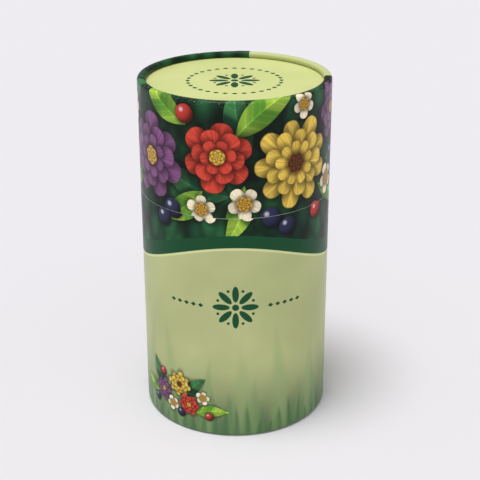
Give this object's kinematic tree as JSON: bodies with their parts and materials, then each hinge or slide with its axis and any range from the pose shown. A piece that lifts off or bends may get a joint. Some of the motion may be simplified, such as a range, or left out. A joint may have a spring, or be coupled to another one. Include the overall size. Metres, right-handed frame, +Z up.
{
  "type": "cylindrical gift tube box",
  "caption": "Round paper gift tube with a lift-off lid over an inner shoulder neck, rolled rims, recessed end discs and a printed paper wrap.",
  "frame": {"origin": "middle of the foot ring, on the surface that the tube stands on", "axes": "+Z up along the tube towards the lid, -Y towards the front of the print"},
  "size_m": [0.083, 0.0832, 0.154],
  "materials": {
    "printed_wrap": "printed cover paper with a satin film",
    "printed_face": "printed lime paper with a satin film",
    "board": "wound or die-cut grey board",
    "white_paper": "uncoated white lining paper"
  },
  "bodies": {
    "base": {"base_tube": "board", "base_wrap": "printed_wrap", "underside_paper": "white_paper", "base_disc": "board", "floor_paper": "white_paper", "neck_tube": "board", "neck_cover": "white_paper", "neck_lining": "white_paper"},
    "lid": {"lid_tube": "board", "lid_wrap": "printed_wrap", "lid_face_paper": "printed_face", "lid_disc": "board", "lid_ceiling_paper": "white_paper", "lid_lining": "white_paper"}
  },
  "joints": [
    {"name": "lid_lift", "type": "slide", "parent": "base", "child": "lid", "axis": [0, 0, 1], "range_m": [0, 0.09]}
  ]
}
